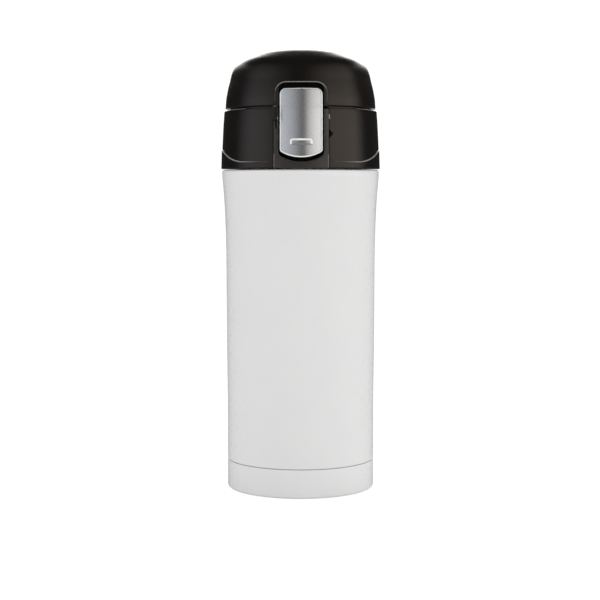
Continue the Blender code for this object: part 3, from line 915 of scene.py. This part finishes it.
def make_bezel():
    outer, inner = bezel_outlines()
    section = [
        ("o", 0.0, -2.2),
        ("o", 0.0, 0.0),
        ("o", 0.05, 0.07),
        ("o", 0.16, 0.11),
        ("o", 0.5, 0.11),
        ("i", 0.62, 0.1),
        ("i", 0.34, 0.04),
        ("i", 0.12, -0.12),
        ("i", 0.0, -0.4),
        ("i", 0.0, -2.2),
    ]
    front = band("mug_bezel", outer, inner, section)
    rail = [block(f"cheek_{s}", *sorted((s * 10.0, s * 11.6)), -31.6, -27.2, 144.2, 168.4) for s in (-1, 1)]
    slot = block("lock_slot", -11.2, -10.4, -40.0, -30.3, 160.3, 168.1, 0)
    channel = block("lock_channel", -12.2, -9.6, -31.3, -30.15, 159.2, 171.0, 0)
    cut(front, slot)
    cut(rail[0], channel)
    floor = block("bezel_floor", -11.1, 11.1, -33.0, -27.4, 143.9, 145.2)
    # Painted highlight: the lower panel's side edges get the light grey.
    paint_highlights_and_marks(front, lambda centre, normal: centre.z < 149.6 and abs(centre.x) > FRAME_OUTER - 0.17)
    done(joined(front, *rail, floor), "lid", "black_gloss", "button_bezel", edge="grey_painted_highlight_and_mark")
    pin = turned_x("mug_button_pin", 1.0, -11.2, 11.2, PIVOT_Y, PIVOT_Z)
    done(pin, "lid", "pin_steel", "button_pin")


def turned_x(name, radius, x0, x1, y, z, columns=40):
    """A pin along X with rounded ends."""
    profile = rounded([(0.0, x0), (radius, x0, 0.35), (radius, x1, 0.35), (0.0, x1)], 5)
    loops = []
    for k in range(columns):
        a = 2 * math.pi * k / columns
        loops.append([(u, y + r * math.cos(a), z + r * math.sin(a)) for r, u in profile])
    return skin(name, loops, True)


def button_outline(half, bottom, top, top_radius, foot, sag):
    """Straight sides, rounded top corners, rounded feet and a bowed bottom edge."""
    radius = (half * half + sag * sag) / (2 * sag)
    arc = [half * (k / 10 - 1) for k in range(21)]
    bow = [(x, bottom + radius - math.sqrt(radius**2 - x * x)) for x in arc]
    corners = [(-half, bow[0][1], foot)] + [(x, z) for x, z in bow[2:-2]] + [(half, bow[-1][1], foot)]
    corners += [(half, top, top_radius), (-half, top, top_radius)]
    return dense(rounded(corners, 7), 0.5)


def on_button(x, z, height):
    """Like on_lid, for the button's face, which is crowned: its sides fall away behind the lid's wall."""
    crown, flat, apex, proud = 0.21, 3.2, 1.2, 0.4
    drop = crown * (math.hypot(x - apex, flat) - flat)
    x, y, z = on_lid(x, z, height)
    return (x, y + drop - proud, z)


def make_button():
    outline = button_outline(BUTTON_HALF, BUTTON_BOTTOM, BUTTON_TOP, 2.6, 1.3, 2.6)
    steps = [(0.0, -0.4), (0.03, -0.28), (0.16, -0.08), (0.4, 0.05), (0.66, 0.1), (0.9, 0.1), (1.3, 0.1)]
    face = patch("mug_button", outline, steps, 16, -1.0, on_button)
    # The rim: a raised bead, coloured near-white as a painted highlight round the button's edge.
    path = inset(outline, 0.3)
    start = max(range(len(path)), key=lambda k: (path[k][1] > BUTTON_TOP - 0.5, -abs(path[k][0])))
    path = path[start:] + path[: start + 1]
    widths = [0.2 + 0.4 * smooth(z, BUTTON_TOP - 0.5, BUTTON_TOP - 3.0) for _, z in path]
    rim = all_highlight_and_mark(bead("button_rim_painted_highlight", path, widths, 0.8, on_button))
    done(joined(face, rim, make_bar()), "button", "silver_satin", "button_face", edge="white_painted_highlight")


def make_bar():
    """The thumb bar: a flat pad with a thick lip over its top and round both ends, the lip coloured
    near-white as a painted highlight.
    """
    low, high, half, lip = 153.45, 156.15, 4.9, 1.0
    turn = 1.15
    corners = [(-half, low, 0.3), (half, low, 0.3), (half, high, turn), (-half, high, turn)]
    outline = dense(rounded(corners, 8), 0.35)
    steps = [(0.0, 0.1), (0.08, 0.16), (0.5, 0.54), (0.7, 0.57)]
    pad = patch("button_bar", outline, steps, 5, -0.4, on_button)
    x, z, bend = half - lip / 2, high - lip / 2, turn - lip / 2
    left = [(-x, low + 0.25)] + quarter(bend - x, z - bend, bend, 90, 8)[::-1]
    path = evenly(left + [(-u, v) for u, v in reversed(left)], 60)
    return joined(pad, all_highlight_and_mark(bead("bar_lip_painted_highlight", path, [lip] * len(path), 0.78, on_button)))


def make_lever():
    half = 7.0
    rows = [150.8 + (176.2 - 150.8) * k / 24 for k in range(25)]
    loops = []
    for z in rows:
        xs = [-half + 2 * half * k / 12 for k in range(13)]
        front = [on_lid(x, z, -1.65) for x in xs]
        back = [on_lid(x, z, -3.05) for x in reversed(xs)]
        loops.append(front + back)
    plate = bevelled(skin("mug_lever", loops, False), 0.25)
    web = block("web", -6.8, 6.8, -31.4, PIVOT_Y, PIVOT_Z - 1.7, PIVOT_Z + 1.7)
    eye = turned_x("eye", 2.0, -6.7, 6.7, PIVOT_Y, PIVOT_Z)
    beak = [(-31.0, 173.5), (-27.9, 173.8), (-27.6, 174.3), (-28.6, 175.3), (-31.0, 175.6)]
    hook = prism_x("hook", beak, -4.0, 4.0)
    done(joined(plate, web, eye, hook), "button", "black_inner", "button_lever")


def make_button_spring():
    y0, y1, radius, turns = -31.3, -26.5, 2.2, 4
    steps = 28 * turns
    path = []
    for k in range(steps + 1):
        a = 2 * math.pi * turns * k / steps
        path.append((radius * math.cos(a), y0 + (y1 - y0) * k / steps, 153.5 + radius * math.sin(a)))
    spring = done(tube("mug_button_spring", path, 0.3), "lid", "pin_steel", "button_spring")
    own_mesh(spring)


def make_lock():
    x0, x1, z0, z1 = -12.5, -9.85, 163.6, 170.0
    outline = dense(rounded([(x0, z0, 0.8), (x1, z0, 0.8), (x1, z1, 0.8), (x0, z1, 0.8)], 6), 0.3)
    knob = patch("mug_lock", outline, [(0.0, 0.7), (0.05, 1.0), (0.25, 1.22), (0.5, 1.3)], 4, 0.5)
    ribs = []
    for k in range(3):
        z = 165.2 + 1.6 * k
        ends = [(x0 + 0.6, z - 0.3), (x1 - 0.6, z - 0.3), (x1 - 0.6, z + 0.3), (x0 + 0.6, z + 0.3)]
        rib = dense(rounded([(*p, 0.25) for p in ends], 4), 0.3)
        ribs.append(patch(f"rib_{k}", rib, [(0.0, 1.34), (0.12, 1.46)], 2, 1.0))
    # Painted highlights: a light grey line on the knob's top edge and a light grey spot at its lower right,
    # by the button.
    crest = [(x0 + 0.5 + (x1 - x0 - 1.0) * k / 12, z1 - 0.22) for k in range(13)]
    tip = [(x1 - 0.25, z0 + 0.6 + 0.9 * k / 8) for k in range(9)]
    lines = [
        bead("lock_crest_painted_highlight", crest, [0.3] * 13, 0.12, lambda x, z, height: on_lid(x, z, height + 1.1)),
        bead("lock_tip_painted_highlight", tip, [0.42] * 9, 0.16, lambda x, z, height: on_lid(x, z, height + 1.15)),
    ]
    for line in lines:
        all_highlight_and_mark(line)
    stem = block("stem", -11.0, -10.6, -33.9, -30.5, 165.2, 167.7, 0.08)
    arm = block("arm", -11.45, -10.1, -30.95, -30.4, 164.0, 168.3, 0.12)
    done(joined(knob, *ribs, *lines, stem, arm), "lock", "black_satin", "lock_slider", edge="grey_painted_highlight_and_mark")


# Cap and hinge


def cap_outline():
    outer = spline(
        [
            (33.5, 170.4), (33.28, 174.0), (32.78, 177.0), (32.25, 179.5), (31.6, 182.0),
            (30.85, 185.15), (29.95, 187.65), (29.0, 189.3), (27.65, 190.6), (25.8, 191.75),
            (22.4, 193.35), (19.5, 194.5), (15.5, 195.58), (12.0, 196.2), (8.0, 196.66),
            (0.0, CAP_TOP),
        ],
        0.8,
    )
    inner = [
        (0.0, CAP_TOP - 2), (8.0, 194.65), (15.0, 193.5), (22.0, 191.2), (25.2, 189.6),
        (27.4, 187.8), (29.1, 184.6), (29.9, 181.6), (30.8, 176.8), (30.9, 174.4), (29.95, 172.4),
        (29.95, 170.0), (29.9, 167.9), (30.15, 167.62), (31.2, 167.62), (31.45, 167.9),
        (31.45, SEAM_HIGH), (32.0, SEAM_HIGH), (33.1, SEAM_HIGH), (33.36, SEAM_HIGH + 0.08),
        (33.46, SEAM_HIGH + 0.22),
    ]
    return outer + spline(inner[:13], 1.2)[1:] + inner[13:]


def make_cap():
    shell = turned("mug_cap", cap_outline())
    opening = rounded([(-10.7, 160.0), (10.7, 160.0), (10.7, 180.15, 3.4), (-10.7, 180.15, 3.4)], 12)
    notch = block("skirt_notch", -12.1, 12.1, -40.0, -22.0, 160.0, 169.6, 0)
    cut(shell, prism_y("cap_opening", opening, -40.0, -25.5), notch)
    tray = block("pocket", -11.3, 11.3, -29.6, -24.8, 169.65, 181.3, 0.2)
    inner = FRAME_INNER
    gap = rounded([(-inner, 160.0), (inner, 160.0), (inner, 179.7, 2.6), (-inner, 179.7, 2.6)])
    cut(tray, prism_y("pocket_gap", gap, -40.0, -26.3))
    ledge = block("catch", -4.3, 4.3, -27.2, -25.6, 171.6, 173.3, 0.25)
    parts = [tray, ledge, make_arch()] + [knuckle(side) for side in (-1, 1)]
    done(joined(shell, *parts), "cap", "black_satin", "flip_cap", edge="grey_painted_highlight_and_mark")


def make_arch():
    """The raised frame that runs over the top of the button, on the cap, with a painted highlight line on its
    crest.
    """
    half = 56
    low = SEAM_HIGH + 0.08
    inner_top, inner_radius = 179.75, 3.3
    outer = arch_side(ARCH_HALF, low, ARCH_TOP, ARCH_RADIUS, half)
    inner = arch_side(FRAME_INNER, low, inner_top, inner_radius, half)
    crest = arch_side(ARCH_HALF - 0.3, low, ARCH_TOP - 0.3, ARCH_RADIUS - 0.3, half)
    section = [
        ("o", 0.0, -1.6),
        ("o", 0.0, -0.3),
        ("o", 0.06, 0.0),
        ("o", 0.18, 0.1),
        ("o", 0.42, 0.1),
        ("i", 0.36, 0.06),
        ("i", 0.16, -0.06),
        ("i", 0.0, -0.3),
        ("i", 0.0, -3.0),
    ]
    frame_band = band("arch", outer, inner, section)
    # The painted highlight is widest over the top, and only its upper part takes the light grey.
    widths = [0.08 + 0.34 * smooth(z, 175.5, 179.5) for _, z in crest]
    line = bead("arch_painted_highlight", crest, widths, 0.16, lambda x, z, height: on_lid(x, z, height + 0.06))
    return joined(frame_band, paint_highlights_and_marks(line, lambda centre, normal: centre.z > 172.0))


def arch_side(half, low, top, radius, count):
    """The arch's outline as an open path, from its left foot over the top to its right foot."""
    turn = list(reversed(quarter(radius - half, top - radius, radius, 90, 14)))
    left = split_path([(-half, low)] + turn, (0.0, top), count)
    return left + [(-x, z) for x, z in reversed(left[:-1])]


def split_path(side, top, count):
    """A path up one side, round its corner and along to the middle. The three runs share its points."""
    straight, corner = side[:2], side[1:]
    runs = [
        evenly(straight, count * 2 // 5),
        evenly(corner, count * 2 // 5),
        evenly([corner[-1], top], count - 2 * (count * 2 // 5) + 2),
    ]
    return runs[0] + runs[1][1:] + runs[2][1:]


def knuckle(side):
    x0, x1 = sorted((side * 4.5, side * 8.0))
    eye = [(HINGE_Y + 2.5 * math.cos(a), HINGE_Z + 2.5 * math.sin(a)) for a in arc_angles(-170, 62, 18)]
    outline = eye + [(35.4, 172.4), (33.0, 173.6), (32.2, 173.0), (32.5, 170.5)]
    return prism_x(f"knuckle_{side}", outline, x0, x1, 0.25)


def make_cap_inside():
    profile = rounded(
        [
            (0.0, 178.8), (13.0, 178.8), (23.6, 178.8, 0.5), (24.3, 179.4, 0.4), (24.3, 180.3, 0.3),
            (20.0, 180.3, 0.4), (20.0, 190.6, 0.3), (18.4, 190.6, 0.3), (18.4, 180.3, 0.4),
            (0.0, 180.3),
        ]
    )
    done(turned("mug_cap_liner", profile, 144), "cap", "black_inner", "cap_liner")
    profile = rounded(
        [
            (0.0, 176.75), (8.6, 176.75, 0.4), (9.2, 176.3, 0.5), (11.4, 176.3, 0.5),
            (12.0, 177.0, 0.5), (11.3, 178.5, 0.3), (0.0, 178.5),
        ]
    )
    done(turned("mug_cap_seal", profile, 96), "cap", "silicone_grey", "cap_seal")


def make_hinge():
    done(turned_x("mug_hinge_pin", 1.2, -11.5, 11.5, HINGE_Y, HINGE_Z), "lid", "pin_steel", "hinge_pin")
    radius, half, turns = 1.62, 3.8, 7
    steps = 28 * turns + 14
    path = [(half, HINGE_Y - 1.3, HINGE_Z + radius)]
    for k in range(steps + 1):
        a = math.pi / 2 - 2 * math.pi * (turns + 0.5) * k / steps
        x = half - 2 * half * k / steps
        path.append((x, HINGE_Y + radius * math.cos(a), HINGE_Z + radius * math.sin(a)))
    path.append((-half, HINGE_Y - 1.3, HINGE_Z - radius))
    spring = done(tube("mug_hinge_spring", path, 0.27), None, "pin_steel", "hinge_spring")
    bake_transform(spring)


# Stage, lights and camera


def math_node(tree, operation, *values):
    node = tree.nodes.new("ShaderNodeMath")
    node.operation = operation
    for socket, value in zip(node.inputs, values):
        if isinstance(value, (int, float)):
            socket.default_value = value
        else:
            tree.links.new(value, socket)
    return node.outputs["Value"]


# Each softbox is (brightness, colour, its stops by direction). A stop is (from, to) in degrees, and the light
# rises from nothing to full between them. azimuth is 0 at the front and grows to the right, elevation is 0 at
# the horizon, behind is 0 beside the mug and grows to the back, and lean is the tilt from upright, seen from
# the front.
SOFTBOXES = [
    (0.92, (0.94, 0.99, 1.09), {"azimuth": ((-12, -56), (-106, -80)), "elevation": ((56, 2),)}),
    (1.3, (1.03, 1.0, 0.965), {"azimuth": ((6, 46), (106, 86)), "elevation": ((56, 2),)}),
    (6.0, (1.0, 0.985, 0.95), {"behind": ((0, 6),), "lean": ((62, 40),), "elevation": ((5, 10), (33, 20))}),
]
ROOM = 0.035  # brightness of the studio between the softboxes
FILL = 0.88  # brightness of the light that falls from all round
FILL_RIGHT = 0.12  # how much brighter it is from the right, as a share
FILL_SIDES = 0.25  # how much brighter from both sides


def ramp(tree, value, start, stop):
    node = tree.nodes.new("ShaderNodeMapRange")
    node.inputs["From Min"].default_value = start
    node.inputs["From Max"].default_value = stop
    tree.links.new(value, node.inputs["Value"])
    return node.outputs["Result"]


def make_world():
    world = bpy.data.worlds.new("studio")
    world.use_nodes = True
    world.cycles.sampling_method = "NONE"
    bpy.context.scene.world = world
    tree = world.node_tree
    tree.nodes.clear()
    direction = tree.nodes.new("ShaderNodeTexCoord").outputs["Generated"]
    split = tree.nodes.new("ShaderNodeSeparateXYZ")
    tree.links.new(direction, split.inputs[0])
    x, y, z = split.outputs
    azimuth = math_node(tree, "DEGREES", math_node(tree, "ARCTAN2", x, math_node(tree, "MULTIPLY", y, -1.0)))
    directions = {
        "azimuth": azimuth,
        "elevation": math_node(tree, "DEGREES", math_node(tree, "ARCSINE", z)),
        "behind": math_node(tree, "DEGREES", math_node(tree, "ARCSINE", y)),
        "lean": math_node(tree, "DEGREES", math_node(tree, "ARCTAN2", math_node(tree, "ABSOLUTE", x), z)),
    }
    studio = background(tree, (1, 1, 1), ROOM)
    for brightness, colour, edges in SOFTBOXES:
        shape = brightness
        for direction, stops in edges.items():
            for start, stop in stops:
                shape = math_node(tree, "MULTIPLY", shape, ramp(tree, directions[direction], start, stop))
        source = background(tree, colour, 0.0)
        tree.links.new(shape, source.node.inputs["Strength"])
        add = tree.nodes.new("ShaderNodeAddShader")
        tree.links.new(studio, add.inputs[0])
        tree.links.new(source, add.inputs[1])
        studio = add.outputs[0]
    fill = background(tree, (1.0, 1.0, 0.997), FILL)
    sides = math_node(tree, "MULTIPLY_ADD", math_node(tree, "MULTIPLY", x, x), FILL * FILL_SIDES, FILL)
    strength = math_node(tree, "MULTIPLY_ADD", x, FILL * FILL_RIGHT, sides)
    tree.links.new(strength, fill.node.inputs["Strength"])
    path = tree.nodes.new("ShaderNodeLightPath")
    light = mixed(tree, path.outputs["Is Glossy Ray"], fill, studio)
    seen = mixed(tree, path.outputs["Is Camera Ray"], light, background(tree, (1, 1, 1), 1.1))
    output = tree.nodes.new("ShaderNodeOutputWorld")
    tree.links.new(seen, output.inputs["Surface"])


def background(tree, colour, strength):
    node = tree.nodes.new("ShaderNodeBackground")
    node.inputs["Color"].default_value = (*colour, 1)
    node.inputs["Strength"].default_value = strength
    return node.outputs[0]


def mixed(tree, share, first, second):
    node = tree.nodes.new("ShaderNodeMixShader")
    tree.links.new(share, node.inputs["Fac"])
    tree.links.new(first, node.inputs[1])
    tree.links.new(second, node.inputs[2])
    return node.outputs[0]


def make_stage():
    bpy.ops.mesh.primitive_circle_add(vertices=96, radius=3.0, fill_type="NGON", location=(0, 0, 0))
    floor = bpy.context.object
    floor.name = "stage_floor"
    m = Nodes("stage_floor")
    m.set(Roughness=0.6)
    m.colours(m.noise(3), (0.93, 0.93, 0.93), (0.95, 0.95, 0.95))
    # The sweep is lit to plain white, with only a faint shadow under the mug.
    glow = m.add("ShaderNodeEmission")
    glow.inputs["Strength"].default_value = 1.1
    mix = m.add("ShaderNodeMixShader")
    path = m.add("ShaderNodeLightPath")
    share = m.add("ShaderNodeMath", operation="MULTIPLY")
    share.inputs[1].default_value = 0.82
    dim = m.add("ShaderNodeEmission")
    dim.inputs["Strength"].default_value = 0.15
    reflected = mixed(m.tree, path.outputs["Is Glossy Ray"], m.shader.outputs[0], dim.outputs[0])
    m.link(path.outputs["Is Camera Ray"], share.inputs[0])
    m.link(share.outputs[0], mix.inputs["Fac"])
    m.link(reflected, mix.inputs[1])
    m.link(glow.outputs[0], mix.inputs[2])
    m.link(mix.outputs[0], m.tree.nodes["Material Output"].inputs["Surface"])
    floor.data.materials.append(m.material)

    light = bpy.data.lights.new("top_box", "AREA")
    light.shape = "RECTANGLE"
    light.size = light.size_y = 0.5
    light.energy = 2.2
    overhead = bpy.data.objects.new("top_box", light)
    overhead.location = (0.1, 0.5, 0.9)
    overhead.rotation_euler = (-overhead.location).to_track_quat("-Z", "Y").to_euler()
    overhead.visible_glossy = False
    overhead.visible_camera = False
    bpy.context.scene.collection.objects.link(overhead)


def make_camera():
    """The photographer's view: a little to the left of the button, pitched down."""
    distance, height, pitch, turn, aside = 0.680, 0.1368, 4.4, -0.45, -0.00024
    camera = bpy.data.cameras.new("photo_view")
    camera.sensor_width = 36.0
    camera.lens = 90.5
    camera.clip_start = 0.01
    obj = bpy.data.objects.new("photo_view", camera)
    angle = math.radians(turn)
    x = distance * math.sin(angle) + aside * math.cos(angle)
    y = -distance * math.cos(angle) + aside * math.sin(angle)
    obj.location = (x, y, height)
    obj.rotation_euler = (math.radians(90 - pitch), 0, angle)
    bpy.context.scene.collection.objects.link(obj)
    bpy.context.scene.camera = obj


make_shell()
make_base()
make_flask_inside()
make_gaskets()
make_collar()
make_thread_ring()
make_mouthpiece()
make_bezel()
make_button()
make_lever()
make_button_spring()
make_lock()
make_cap()
make_cap_inside()
make_hinge()
make_world()
make_stage()
make_camera()
bpy.context.scene.view_settings.view_transform = "Standard"
